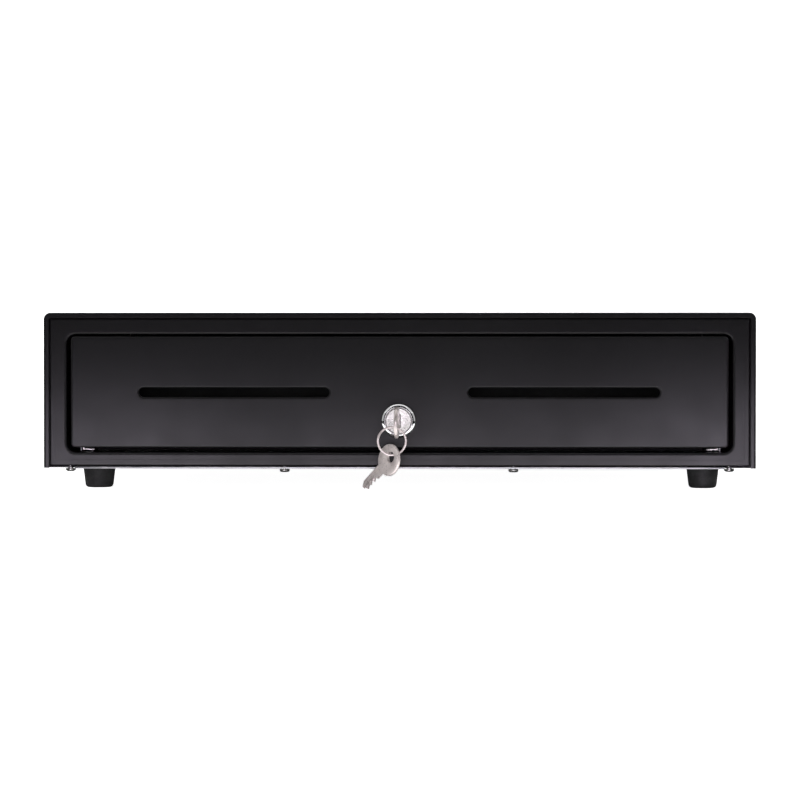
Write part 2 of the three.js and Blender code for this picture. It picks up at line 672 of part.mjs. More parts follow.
place('clip_shaft', STEEL, clipShaft());
place('latch_bracket', GALVANISED, latchBracket());
place('latch_hook', STEEL, latchHook());
place('latch_pin', STEEL, latchPin());
place('solenoid', COPPER_COIL, solenoid());
place('solenoid_plunger', STEEL, solenoidPlunger());
place('drawer_switch', BLACK_PLASTIC, drawerSwitch());
place('switch_lever', STEEL, switchLever());
place('ejector_guide', GALVANISED, ejectorGuide());
place('ejector_plunger', BLACK_PLASTIC, ejectorPlunger());

export default group;
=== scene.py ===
import json
import math
import bpy
import bmesh
from mathutils import Matrix, Vector
from mathutils.geometry import delaunay_2d_cdt, intersect_point_tri_2d

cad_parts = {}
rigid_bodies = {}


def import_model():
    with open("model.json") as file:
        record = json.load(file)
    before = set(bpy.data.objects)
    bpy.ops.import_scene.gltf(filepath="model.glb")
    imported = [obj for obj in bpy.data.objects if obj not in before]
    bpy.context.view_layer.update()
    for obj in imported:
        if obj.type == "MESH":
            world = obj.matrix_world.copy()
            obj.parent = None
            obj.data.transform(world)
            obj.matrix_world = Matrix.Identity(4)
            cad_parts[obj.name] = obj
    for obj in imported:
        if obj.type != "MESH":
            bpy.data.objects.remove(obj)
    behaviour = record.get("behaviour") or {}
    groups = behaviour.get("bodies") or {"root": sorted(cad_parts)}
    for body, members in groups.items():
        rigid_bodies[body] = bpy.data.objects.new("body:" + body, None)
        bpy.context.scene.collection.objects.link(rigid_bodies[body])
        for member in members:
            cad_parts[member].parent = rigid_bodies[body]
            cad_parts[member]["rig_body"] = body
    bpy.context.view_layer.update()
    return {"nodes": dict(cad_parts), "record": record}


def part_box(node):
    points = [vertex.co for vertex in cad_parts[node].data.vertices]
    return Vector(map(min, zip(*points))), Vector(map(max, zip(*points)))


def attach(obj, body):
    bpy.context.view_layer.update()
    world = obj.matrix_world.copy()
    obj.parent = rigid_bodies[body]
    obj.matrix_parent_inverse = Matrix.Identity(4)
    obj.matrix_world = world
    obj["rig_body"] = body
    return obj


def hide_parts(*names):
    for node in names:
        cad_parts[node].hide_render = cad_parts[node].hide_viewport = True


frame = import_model()
print("frame loaded:", len(frame["nodes"]), "nodes")

mm = 0.001
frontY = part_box("top_cover")[0].y  # the front lip's plane; depths below are measured back from it


# shapes, drawn in mm as (across, depth, height)

def roundRect(x0, x1, z0, z1, radius, steps=8):
    radius = max(radius, 0.02)
    corners = [(x1 - radius, z0 + radius, -90), (x1 - radius, z1 - radius, 0),
               (x0 + radius, z1 - radius, 90), (x0 + radius, z0 + radius, 180)]
    return [(cx + radius * math.cos(math.radians(start + 90 * i / steps)),
             cz + radius * math.sin(math.radians(start + 90 * i / steps)))
            for cx, cz, start in corners for i in range(steps + 1)]


def circle(cx, cz, radius, count=48):
    return [(cx + radius * math.cos(2 * math.pi * i / count), cz + radius * math.sin(2 * math.pi * i / count))
            for i in range(count)]


def atDepth(outline, depth):
    return [(x, depth, z) for x, z in outline]


def loft(rings, closed=True, around=False, startCap=False, endCap=False, sideCaps=False):
    count = len(rings[0])
    verts = [p for ring in rings for p in ring]
    faces = []
    for r in range(len(rings) if around else len(rings) - 1):
        a, b = r * count, (r + 1) % len(rings) * count
        for i in range(count if closed else count - 1):
            j = (i + 1) % count
            faces.append((a + i, a + j, b + j, b + i))
    if startCap:
        faces.append(tuple(reversed(range(count))))
    if endCap:
        faces.append(tuple(range(len(verts) - count, len(verts))))
    if sideCaps:  # the two open ends of a sheet whose section runs round
        faces.append(tuple(r * count for r in range(len(rings))))
        faces.append(tuple(r * count + count - 1 for r in reversed(range(len(rings)))))
    return verts, faces


def pierced(outer, holes, depth):
    # a flat sheet with holes in it, as triangles between the given outlines
    points = [Vector(p) for p in outer]
    edges = [(i, (i + 1) % len(outer)) for i in range(len(outer))]
    for hole in holes:
        first = len(points)
        points += [Vector(p) for p in hole]
        edges += [(first + i, first + (i + 1) % len(hole)) for i in range(len(hole))]
    result = delaunay_2d_cdt(points, edges, [], 1, 1e-6)
    verts, tris = result[0], result[2]
    keep = []
    for tri in tris:
        middle = sum((verts[i] for i in tri), Vector((0, 0))) / len(tri)
        if inside(middle, outer) and not any(inside(middle, hole) for hole in holes):
            keep.append(tuple(tri))
    return [(v.x, depth, v.y) for v in verts], keep


def inside(point, outline):
    odd = False
    for (x0, z0), (x1, z1) in zip(outline, outline[1:] + outline[:1]):
        if (z0 > point[1]) != (z1 > point[1]) and point[0] < (x1 - x0) * (point[1] - z0) / (z1 - z0) + x0:
            odd = not odd
    return odd


def lathe(profile, cx, cz, count=64, around=False):
    # profile of (radius, depth) pairs turned about a line along the depth
    rings = [[(cx + r * math.cos(2 * math.pi * i / count), d, cz + r * math.sin(2 * math.pi * i / count))
              for i in range(count)] for r, d in profile]
    return loft(rings, around=around, startCap=not around, endCap=not around)


def arc(centre, radius, start, end, steps):
    return [(centre[0] + radius * math.cos(math.radians(start + (end - start) * i / steps)),
             centre[1] + radius * math.sin(math.radians(start + (end - start) * i / steps)))
            for i in range(steps + 1)]


def block(x, d, z, bevel=0.4, steps=2):
    bm = bmesh.new()
    bmesh.ops.create_cube(bm, size=1)
    for v in bm.verts:
        v.co = Vector(((x[0] + x[1]) / 2 + v.co.x * (x[1] - x[0]), (d[0] + d[1]) / 2 + v.co.y * (d[1] - d[0]),
                       (z[0] + z[1]) / 2 + v.co.z * (z[1] - z[0])))
    bmesh.ops.bevel(bm, geom=bm.edges[:], offset=bevel, segments=steps, profile=0.5, affect="EDGES")
    bm.verts.index_update()
    made = [tuple(v.co) for v in bm.verts], [tuple(v.index for v in f.verts) for f in bm.faces]
    bm.free()
    return made


# pieces

def shaded(mesh, sharpAngle):
    bm = bmesh.new()
    bm.from_mesh(mesh)
    for face in bm.faces:
        face.smooth = True
    for edge in bm.edges:
        edge.smooth = len(edge.link_faces) == 2 and edge.calc_face_angle(0) < math.radians(sharpAngle)
    bm.to_mesh(mesh)
    bm.free()


def finished(obj, material, body, standsFor=()):
    obj.data.materials.clear()
    obj.data.materials.append(material)
    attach(obj, body)
    if standsFor:
        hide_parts(*standsFor)
    return obj


def addPiece(name, shapes, material, body, standsFor=(), sharpAngle=38, placed=True):
    bm = bmesh.new()
    for verts, faces in shapes:
        made = [bm.verts.new((x * mm, frontY + d * mm, z * mm) if placed else (x, d, z)) for x, d, z in verts]
        for face in faces:
            try:
                bm.faces.new([made[i] for i in face])
            except ValueError:
                pass
    bmesh.ops.remove_doubles(bm, verts=bm.verts, dist=2e-6)
    bmesh.ops.recalc_face_normals(bm, faces=bm.faces)
    mesh = bpy.data.meshes.new(name)
    bm.to_mesh(mesh)
    bm.free()
    shaded(mesh, sharpAngle)
    obj = bpy.data.objects.new(name, mesh)
    bpy.context.scene.collection.objects.link(obj)
    return finished(obj, material, body, standsFor)


def bevelledCopy(node, material, width=0.4, steps=2, name=None, sharpAngle=32):
    # the node's own solid, merged and cleaned, with its edges rounded
    mesh = frame["nodes"][node].data.copy()
    bm = bmesh.new()
    bm.from_mesh(mesh)
    bmesh.ops.remove_doubles(bm, verts=bm.verts, dist=1e-6)
    bmesh.ops.dissolve_limit(bm, angle_limit=math.radians(1), verts=bm.verts, edges=bm.edges)
    bm.to_mesh(mesh)
    bm.free()
    mesh.name = name or node + "_body"
    obj = bpy.data.objects.new(name or node + "_body", mesh)
    bpy.context.scene.collection.objects.link(obj)
    bevel = obj.modifiers.new("edges", "BEVEL")
    bevel.width = width * mm
    bevel.segments = steps
    bevel.limit_method = "ANGLE"
    bevel.angle_limit = math.radians(30)
    bevel.use_clamp_overlap = True
    made = bpy.data.meshes.new_from_object(obj.evaluated_get(bpy.context.evaluated_depsgraph_get()))
    obj.modifiers.clear()
    obj.data = made
    if "custom_normal" in made.attributes:
        made.attributes.remove(made.attributes["custom_normal"])
    shaded(made, sharpAngle)
    return finished(obj, material, frame["nodes"][node]["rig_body"], (node,))


# finishes

def startMaterial(name, color, metallic, roughness, **sockets):
    material = bpy.data.materials.new(name)
    material.use_nodes = True
    tree = material.node_tree
    shader = tree.nodes["Principled BSDF"]
    shader.inputs["Base Color"].default_value = (*color, 1)
    shader.inputs["Metallic"].default_value = metallic
    shader.inputs["Roughness"].default_value = roughness
    for socket, value in sockets.items():
        shader.inputs[socket.replace("_", " ")].default_value = value
    where = tree.nodes.new("ShaderNodeTexCoord").outputs["Object"]
    return material, tree, shader, where


def noise(tree, where, scale, detail=2, rough=0.5, stretch=None):
    if stretch:
        mapping = tree.nodes.new("ShaderNodeMapping")
        mapping.inputs["Scale"].default_value = stretch
        tree.links.new(where, mapping.inputs["Vector"])
        where = mapping.outputs["Vector"]
    node = tree.nodes.new("ShaderNodeTexNoise")
    node.inputs["Scale"].default_value = scale
    node.inputs["Detail"].default_value = detail
    node.inputs["Roughness"].default_value = rough
    tree.links.new(where, node.inputs["Vector"])
    return node.outputs["Fac"]


def cells(tree, where, scale, output="Color"):
    node = tree.nodes.new("ShaderNodeTexVoronoi")
    node.inputs["Scale"].default_value = scale
    tree.links.new(where, node.inputs["Vector"])
    return node.outputs[output]


def spread(tree, value, low, high, fromLow=0.3, fromHigh=0.7):
    node = tree.nodes.new("ShaderNodeMapRange")
    for socket, number in zip(("From Min", "From Max", "To Min", "To Max"), (fromLow, fromHigh, low, high)):
        node.inputs[socket].default_value = number
    tree.links.new(value, node.inputs["Value"])
    return node.outputs["Result"]


def tinted(tree, factor, low, high):
    node = tree.nodes.new("ShaderNodeMix")
    node.data_type = "RGBA"
    node.inputs["A"].default_value = (*low, 1)
    node.inputs["B"].default_value = (*high, 1)
    colorIn = [socket for socket in node.inputs if socket.type == "RGBA"]
    colorIn[0].default_value, colorIn[1].default_value = (*low, 1), (*high, 1)
    tree.links.new(factor, node.inputs["Factor"])
    return next(socket for socket in node.outputs if socket.type == "RGBA")


def coloured(tree, shader, pattern, look):
    mixed = tinted(tree, spread(tree, pattern, 0, 1), look["low"], look["high"])
    tree.links.new(mixed, shader.inputs["Base Color"])


def roughened(tree, shader, pattern, look):
    tree.links.new(spread(tree, pattern, *look["roughness"]), shader.inputs["Roughness"])


def raised(tree, height, distance, strength=1.0, below=None):
    node = tree.nodes.new("ShaderNodeBump")
    node.inputs["Strength"].default_value = strength
    node.inputs["Distance"].default_value = distance
    tree.links.new(height, node.inputs["Height"])
    if below:
        tree.links.new(below, node.inputs["Normal"])
    return node.outputs["Normal"]


def blackPaint():
    look = {"low": (0.0024, 0.0020, 0.0028), "high": (0.0032, 0.0027, 0.0037), "roughness": (0.37, 0.43)}
    material, tree, shader, where = startMaterial("blackPowderCoat", look["low"], 0, 0.4,
                                                  Specular_IOR_Level=0.5)
    broad = noise(tree, where, 14, 3)
    grain = noise(tree, where, 1500, 2)
    coloured(tree, shader, broad, look)
    roughened(tree, shader, noise(tree, where, 60, 4), look)
    orangePeel = raised(tree, noise(tree, where, 420, 2), 0.00004, 0.35)
    tree.links.new(raised(tree, grain, 0.00002, 0.3, orangePeel), shader.inputs["Normal"])
    return material


def galvanisedSteel():
    look = {"dark": (0.42, 0.43, 0.44), "light": (0.62, 0.63, 0.63), "roughness": (0.3, 0.48), "spangle": 95}
    material, tree, shader, where = startMaterial("galvanisedSteel", look["light"], 1, 0.4)
    patch = cells(tree, where, look["spangle"])
    tree.links.new(tinted(tree, spread(tree, patch, 0, 1, 0, 1), look["dark"], look["light"]),
                   shader.inputs["Base Color"])
    tree.links.new(spread(tree, patch, *look["roughness"], 0, 1), shader.inputs["Roughness"])
    tree.links.new(raised(tree, noise(tree, where, 500, 3), 0.00003, 0.3), shader.inputs["Normal"])
    return material


def zincSteel():
    look = {"low": (0.56, 0.55, 0.52), "high": (0.7, 0.69, 0.66), "roughness": (0.22, 0.4)}
    material, tree, shader, where = startMaterial("zincSteel", look["high"], 1, 0.3)
    coloured(tree, shader, noise(tree, where, 120, 3), look)
    roughened(tree, shader, noise(tree, where, 900, 3), look)
    tree.links.new(raised(tree, noise(tree, where, 1400, 2), 0.00002, 0.25), shader.inputs["Normal"])
    return material


def chromePlate():
    look = {"color": (0.86, 0.86, 0.87), "roughness": (0.06, 0.16)}
    material, tree, shader, where = startMaterial("chromePlate", look["color"], 1, 0.1)
    roughened(tree, shader, noise(tree, where, 350, 4), look)
    tree.links.new(raised(tree, noise(tree, where, 180, 2), 0.00003, 0.12), shader.inputs["Normal"])
    return material


def nickelPlate():
    look = {"low": (0.52, 0.46, 0.45), "high": (0.66, 0.60, 0.585), "roughness": (0.24, 0.42)}
    material, tree, shader, where = startMaterial("nickelPlate", look["high"], 0.72, 0.3)
    coloured(tree, shader, noise(tree, where, 260, 4), look)
    roughened(tree, shader, noise(tree, where, 700, 4, 0.6), look)
    scratches = noise(tree, where, 260, 2, 0.5, (1, 1, 14))
    tree.links.new(raised(tree, scratches, 0.00003, 0.25), shader.inputs["Normal"])
    return material


def plugNickel():
    look = {"low": (0.82, 0.79, 0.79), "high": (0.92, 0.89, 0.89), "roughness": (0.24, 0.34)}
    material, tree, shader, where = startMaterial("plugNickel", look["high"], 0.55, 0.3)
    coloured(tree, shader, noise(tree, where, 260, 4), look)
    roughened(tree, shader, noise(tree, where, 700, 3), look)
    return material


# the drawer box's black paint, made darker and flatter than the casing's paint: painted shade for the gap under the
# drawer front
def boxPaintWithPaintedShade():
    look = {"low": (0.0018, 0.0017, 0.0019), "high": (0.0026, 0.0024, 0.0027), "roughness": (0.6, 0.75)}
    material, tree, shader, where = startMaterial("boxPaintWithPaintedShade", look["low"], 0, 0.7)
    shader.inputs["Specular IOR Level"].default_value = 0.15
    coloured(tree, shader, noise(tree, where, 40, 3), look)
    roughened(tree, shader, noise(tree, where, 300, 3), look)
    return material


def footRubber():
    look = {"low": (0.009, 0.009, 0.0095), "high": (0.016, 0.0155, 0.016), "roughness": (0.5, 0.68)}
    material, tree, shader, where = startMaterial("footRubber", look["low"], 0, 0.6)
    coloured(tree, shader, noise(tree, where, 300, 4), look)
    roughened(tree, shader, noise(tree, where, 800, 3), look)
    tree.links.new(raised(tree, noise(tree, where, 1600, 3), 0.00005, 0.4), shader.inputs["Normal"])
    return material


def blackPlastic():
    look = {"low": (0.016, 0.016, 0.018), "high": (0.022, 0.022, 0.024), "roughness": (0.42, 0.56),
            "grain": 1300}
    material, tree, shader, where = startMaterial("blackPlastic", look["low"], 0, 0.5)
    coloured(tree, shader, noise(tree, where, 30, 2), look)
    roughened(tree, shader, noise(tree, where, 240, 3), look)
    grain = cells(tree, where, look["grain"], "Distance")
    tree.links.new(raised(tree, grain, 0.00004, 0.5), shader.inputs["Normal"])
    return material


def windingTape():
    look = {"low": (0.34, 0.12, 0.03), "high": (0.5, 0.2, 0.05), "roughness": (0.35, 0.5)}
    material, tree, shader, where = startMaterial("windingTape", look["low"], 0, 0.4)
    coloured(tree, shader, noise(tree, where, 200, 3), look)
    roughened(tree, shader, noise(tree, where, 500, 3), look)
    wraps = noise(tree, where, 60, 0, 0.5, (1, 30, 1))
    tree.links.new(raised(tree, wraps, 0.0001, 0.5), shader.inputs["Normal"])
    return material


def brassPlate():
    look = {"low": (0.55, 0.36, 0.12), "high": (0.72, 0.5, 0.2), "roughness": (0.2, 0.35)}
    material, tree, shader, where = startMaterial("brassPlate", look["high"], 1, 0.25)
    coloured(tree, shader, noise(tree, where, 300, 3), look)
    roughened(tree, shader, noise(tree, where, 900, 3), look)
    return material


paint = blackPaint()
brass = brassPlate()
galvanised = galvanisedSteel()
steel = zincSteel()
chrome = chromePlate()
nickel = nickelPlate()
rubber = footRubber()
plastic = blackPlastic()
tape = windingTape()
slotMaterial = {"black_paint": paint, "galvanised": galvanised, "steel": steel, "chrome": chrome,
                "nickel": nickel, "rubber": rubber, "black_plastic": plastic, "coil": tape}
for row in frame["record"]["subparts"]:
    node = frame["nodes"][row["node"]]
    node.data.materials.clear()
    node.data.materials.append(slotMaterial[row["material_slot"]])
print("finishes made:", len(slotMaterial))


# repeats, made with node trees

def newTree(name, inputs):
    tree = bpy.data.node_groups.new(name, "GeometryNodeTree")
    tree.interface.new_socket("Geometry", in_out="INPUT", socket_type="NodeSocketGeometry")
    for label, kind in inputs:
        tree.interface.new_socket(label, in_out="INPUT", socket_type="NodeSocket" + kind)
    tree.interface.new_socket("Geometry", in_out="OUTPUT", socket_type="NodeSocketGeometry")
    return tree, tree.nodes.new("NodeGroupInput"), tree.nodes.new("NodeGroupOutput")


def onPoints(tree, given, instance, done):
    # one instance on every point, its z axis along the point's "aim"
    aim = tree.nodes.new("GeometryNodeInputNamedAttribute")
    aim.data_type = "FLOAT_VECTOR"
    aim.inputs["Name"].default_value = "aim"
    align = tree.nodes.new("FunctionNodeAlignRotationToVector")
    align.axis = "Z"
    tree.links.new(aim.outputs["Attribute"], align.inputs["Vector"])
    place = tree.nodes.new("GeometryNodeInstanceOnPoints")
    tree.links.new(given.outputs["Geometry"], place.inputs["Points"])
    tree.links.new(instance, place.inputs["Instance"])
    tree.links.new(align.outputs["Rotation"], place.inputs["Rotation"])
    real = tree.nodes.new("GeometryNodeRealizeInstances")
    paintNode = tree.nodes.new("GeometryNodeSetMaterial")
    tree.links.new(place.outputs["Instances"], real.inputs["Geometry"])
    tree.links.new(real.outputs["Geometry"], paintNode.inputs["Geometry"])
    tree.links.new(given.outputs["Material"], paintNode.inputs["Material"])
    tree.links.new(paintNode.outputs["Geometry"], done.inputs["Geometry"])


def headTree():
    tree, given, done = newTree("headsOnPoints", (("Head", "Object"), ("Material", "Material")))
    info = tree.nodes.new("GeometryNodeObjectInfo")
    tree.links.new(given.outputs["Head"], info.inputs["Object"])
    onPoints(tree, given, info.outputs["Geometry"], done)
    return tree


def coilTree():
    tree, given, done = newTree("coilsOnPoints", (("Coil Radius", "Float"), ("Wire Radius", "Float"),
                                                  ("Turns", "Float"), ("Length", "Float"),
                                                  ("Material", "Material")))
    spiral = tree.nodes.new("GeometryNodeCurveSpiral")
    spiral.inputs["Resolution"].default_value = 28
    for socket, label in (("Start Radius", "Coil Radius"), ("End Radius", "Coil Radius"), ("Rotations", "Turns"),
                          ("Height", "Length")):
        tree.links.new(given.outputs[label], spiral.inputs[socket])
    wire = tree.nodes.new("GeometryNodeCurvePrimitiveCircle")
    wire.inputs["Resolution"].default_value = 8
    tree.links.new(given.outputs["Wire Radius"], wire.inputs["Radius"])
    tube = tree.nodes.new("GeometryNodeCurveToMesh")
    tube.inputs["Fill Caps"].default_value = True
    tree.links.new(spiral.outputs["Curve"], tube.inputs["Curve"])
    tree.links.new(wire.outputs["Curve"], tube.inputs["Profile Curve"])
    onPoints(tree, given, tube.outputs["Mesh"], done)
    return tree


def grown(name, tree, points, settings, material, body):
    # points of (x, depth, z, aim) in mm; the result is a plain mesh
    mesh = bpy.data.meshes.new(name)
    mesh.from_pydata([(x * mm, frontY + d * mm, z * mm) for x, d, z, aim in points], [], [])
    aims = mesh.attributes.new("aim", "FLOAT_VECTOR", "POINT")
    for i, point in enumerate(points):
        aims.data[i].vector = point[3]
    obj = bpy.data.objects.new(name, mesh)
    bpy.context.scene.collection.objects.link(obj)
    modifier = obj.modifiers.new("repeat", "NODES")
    modifier.node_group = tree
    values = dict(settings, Material=material)
    for item in tree.interface.items_tree:
        if item.in_out == "INPUT" and item.name in values:
            modifier[item.identifier] = values[item.name]
    made = bpy.data.meshes.new_from_object(obj.evaluated_get(bpy.context.evaluated_depsgraph_get()))
    obj.modifiers.clear()
    obj.data = made
    shaded(made, 40)
    return finished(obj, material, body)


def headShape(name, radius, height, recess):
    # a pan head standing on z = 0, with a cross-shaped recess when asked
    count = 48
    profile = [(radius * 0.96, 0), (radius, height * 0.12), (radius, height * 0.45), (radius * 0.94, height * 0.72),
               (radius * 0.8, height * 0.9), (radius * 0.6, height)]
    wing, slim = radius * 0.5, radius * 0.13
    star = []
    for i in range(count):
        a = 2 * math.pi * i / count
        near = min(abs(math.cos(a)), abs(math.sin(a)))
        star.append(min(wing, slim / max(near, 0.02)) if recess else radius * 0.5)
    rings = [[(r * math.cos(2 * math.pi * i / count), r * math.sin(2 * math.pi * i / count), z)
              for i in range(count)] for r, z in profile]
    for grow, z in ((1.0, height * 1.0), (0.86, height * 0.45)) if recess else ((1.0, height * 1.02),):
        rings.append([(grow * star[i] * math.cos(2 * math.pi * i / count),
                       grow * star[i] * math.sin(2 * math.pi * i / count), z) for i in range(count)])
    verts, faces = loft(rings, startCap=True, endCap=True)
    mesh = bpy.data.meshes.new(name)
    mesh.from_pydata([(x * mm, y * mm, z * mm) for x, y, z in verts], [], faces)
    bm = bmesh.new()
    bm.from_mesh(mesh)
    bmesh.ops.recalc_face_normals(bm, faces=bm.faces)
    bm.to_mesh(mesh)
    bm.free()
    return bpy.data.objects.new(name, mesh)


heads = headTree()
coils = coilTree()
down = (0, 0, -1)
left = (-1, 0, 0)
right = (1, 0, 0)


# casing

def buildCover():
    size = {"halfWidth": 205, "top": 102, "bottom": 12.4, "length": 415, "corner": 4, "sheet": 1.0,
            "lip": 3.2, "bend": 1.3, "flangeTip": 187.3}

    def outline(inset):
        x, top = size["halfWidth"] - inset, size["top"] - inset
        r = max(size["corner"] - inset, 0.35)
        right = arc((x - r, top - r), r, 0, 90, 8)
        left = arc((-x + r, top - r), r, 90, 180, 8)
        return ([(x, size["bottom"]), (x, top - r - 0.3)] + right + left
                + [(-x, top - r - 0.3), (-x, size["bottom"])])

    r, t = size["bend"], size["sheet"]
    section = [(0, size["length"] - 0.3), (0, 8), (0, r + 0.3)]
    section += [(r - r * math.cos(math.radians(a)), r - r * math.sin(math.radians(a)))
                for a in range(0, 91, 15)]
    section += [(r + 0.2, 0), (size["lip"] - 0.5, 0), (size["lip"] - 0.35, 0.01),
                (size["lip"] - 0.1, 0.1), (size["lip"], 0.35),
                (size["lip"], t - 0.2), (size["lip"] - 0.2, t), (r + 0.2, t), (t, r + 0.2), (t, 8),
                (t, size["length"] - 0.3), (t - 0.3, size["length"]), (0.3, size["length"])]
    rings = [atDepth(outline(inset), depth) for inset, depth in section]
    shapes = [loft(rings, closed=False, around=True, sideCaps=True)]
    for side in (-1, 1):  # in-turned flanges under both sides, cut back at the ends
        wall, tip = side * (size["halfWidth"] - 0.4), side * size["flangeTip"]
        plan = [(wall, 1.6), (tip + side * 1.5, 1.6), (tip, 4.0), (tip, size["length"] - 6),
                (tip + side * 3, size["length"] - 3), (wall, size["length"] - 3)]
        low = size["bottom"]
        shapes.append(loft([[(x, d, low + 0.15) for x, d in plan], [(x, d, low + 0.9) for x, d in plan]],
                           startCap=True, endCap=True))
    return addPiece("cover_shell", shapes, paint, "casing", ("top_cover",))


def buildBackRim():
    size = {"half": 203.85, "top": 100.85, "chamfer": 2.85, "low": 14.2, "innerHalf": 199, "innerTop": 97,
            "depth": (411.4, 413.3)}
    h, top, c, low = size["half"], size["top"], size["chamfer"], size["low"]
    ih, it = size["innerHalf"], size["innerTop"]
    # an arch behind the back panel's edge, closing the slit to the cover
    outline = [(-h, low), (-h, top - c), (-h + c, top), (h - c, top), (h, top - c), (h, low), (ih, low),
               (ih, it), (-ih, it), (-ih, low)]
    shape = loft([atDepth(outline, d) for d in size["depth"]], startCap=True, endCap=True)
    return addPiece("back_rim", [shape], paint, "casing")


def buildBezel():
    size = {"outer": (201.5, 13.6, 98.5), "opening": (191.75, 21.4, 89.5), "openingCorner": 5.5,
            "face": 0.8, "edgeBend": 0.9, "openingRoll": 1.6, "sheet": 1.0, "depth": 12,
            "crease": (3.1, 0.5, -0.07)}
    x, z0, z1 = size["outer"]
    ox, oz0, oz1 = size["opening"]
    face, t, back = size["face"], size["sheet"], size["depth"]

    def rim(inset, depth):
        return atDepth(roundRect(-x + inset, x - inset, z0 + inset, z1 - inset, 0.5 + inset * 0.3), depth)

    def mouth(out, depth):
        corner = size["openingCorner"] + out
        return atDepth(roundRect(-ox - out, ox + out, oz0 - out, oz1 + out, corner), depth)

    b, r = size["edgeBend"], size["openingRoll"]
    rings = [rim(0, back), rim(0, face + b)]
    rings += [rim(b - b * math.cos(math.radians(a)), face + b - b * math.sin(math.radians(a)))
              for a in range(15, 91, 15)]
    start, wide, deep = size["crease"]
    rings += [rim(b + 0.2, face), rim(start - 0.12, face), rim(start, face), rim(start + wide / 2, face + deep),
              rim(start + wide, face), rim(start + wide + 0.12, face)]
    rings += [mouth(r + 0.3, face)]
    rings += [mouth(r - r * math.sin(math.radians(a)), face + r - r * math.cos(math.radians(a)))
              for a in range(0, 91, 10)]
    rings += [mouth(0, face + r + 0.3), mouth(0, back), mouth(t, back), mouth(t, face + r + t),
              mouth(r + t, face + t), rim(b + t, face + t), rim(t, face + b + t), rim(t, back)]
    # a flange turned outwards closes the slit behind the cover's lip
    wide, high = 203.7, 100.7
    flange = [(-wide, z0), (-wide, high), (wide, high), (wide, z0), (x - 0.5, z0), (x - 0.5, z1 - 0.5),
              (-x + 0.5, z1 - 0.5), (-x + 0.5, z0)]
    closing = loft([atDepth(flange, 2.6), atDepth(flange, 3.4)], startCap=True, endCap=True)
    return addPiece("front_frame", [loft(rings, around=True), closing], paint, "casing",
                    ("front_bezel",))


def buildDrawerFront():
    size = {"half": 189.4, "low": 24.1, "high": 88.3, "corner": 2.3, "face": 0.8, "bend": 1.2, "sheet": 1.0,
            "depth": 12.6, "slotCentre": 95, "slotHeight": 56, "slotSize": (110, 5.5), "slotRoll": 1.1,
            "lockHole": 8.6, "lockHeight": 39.7}
    face, t, r = size["face"], size["sheet"], size["bend"]

    def edge(inset, depth):
        return atDepth(edgeLine(inset), depth)

    def edgeLine(inset):
        half = size["half"] - inset
        return roundRect(-half, half, size["low"] + inset, size["high"] - inset, max(size["corner"] - inset, 0.4))

    def slot(side, out):
        w, h = size["slotSize"][0] / 2 + out, size["slotSize"][1] / 2 + out
        cx, cz = side * size["slotCentre"], size["slotHeight"]
        return roundRect(cx - w, cx + w, cz - h, cz + h, h - 0.02, 12)

    rings = [edge(t, face + t + 0.4), edge(t, size["depth"] - 0.3), edge(0.5, size["depth"]),
             edge(0, size["depth"] - 0.4), edge(0, face + r + 0.3)]
    rings += [edge(r - r * math.cos(math.radians(a)), face + r - r * math.sin(math.radians(a)))
              for a in range(0, 91, 15)]
    rings += [edge(r + 0.4, face)]
    shapes = [loft(rings)]
    roll = size["slotRoll"]
    lockRing = circle(0, size["lockHeight"], size["lockHole"])
    outside = [slot(-1, roll + 0.3), slot(1, roll + 0.3), lockRing]
    shapes.append(pierced(edgeLine(r + 0.4), outside, face))
    insideLine = edgeLine(t)
    behind = [slot(-1, roll), slot(1, roll), lockRing]
    shapes.append(pierced(insideLine, behind, face + t + 0.4))
    for side in (-1, 1):
        lip = [atDepth(slot(side, roll + 0.3), face)]
        lip += [atDepth(slot(side, roll - roll * math.sin(math.radians(a))),
                        face + roll - roll * math.cos(math.radians(a))) for a in range(0, 91, 15)]
        lip += [atDepth(slot(side, 0), face + 3.2), atDepth(slot(side, roll), face + 3.2),
                atDepth(slot(side, roll), face + t + 0.4)]
        shapes.append(loft(lip))
    shapes.append(loft([atDepth(lockRing, face), atDepth(lockRing, face + t + 0.4)]))
    return addPiece("drawer_front_panel", shapes, paint, "drawer", ("drawer_front",))


def buildFeet():
    size = {"top": 9.6, "bottom": 8.2, "height": 11.8, "x": 176.5, "depths": (30, 385), "well": 3.4}
    profile = [(size["well"], 4.5), (size["well"], 0.5), (size["well"] + 0.5, 0)]
    profile += [(5.9, 0), (6.7, 0.12), (7.4, 0.45), (7.9, 1.0), (size["bottom"], 1.8),
                (size["bottom"] + 0.06, 2.4)]
    profile += [(size["top"] - 0.25, 11.0), (size["top"] - 0.15, 11.5), (size["top"] - 0.5, size["height"])]
    for end, depth in zip(("front", "rear"), size["depths"]):
        for hand, side in (("left", -1), ("right", 1)):
            count = 56
            rings = [[(px, pd, z) for px, pd in circle(side * size["x"], depth, r, count)] for r, z in profile]
            addPiece(f"rubber_foot_{end}_{hand}", [loft(rings, startCap=True, endCap=True)], rubber, "casing",
                     (f"foot_{end}_{hand}",))


buildCover()
buildBezel()
buildBackRim()
buildDrawerFront()
buildFeet()
print("casing and drawer front made")


# lock and keys

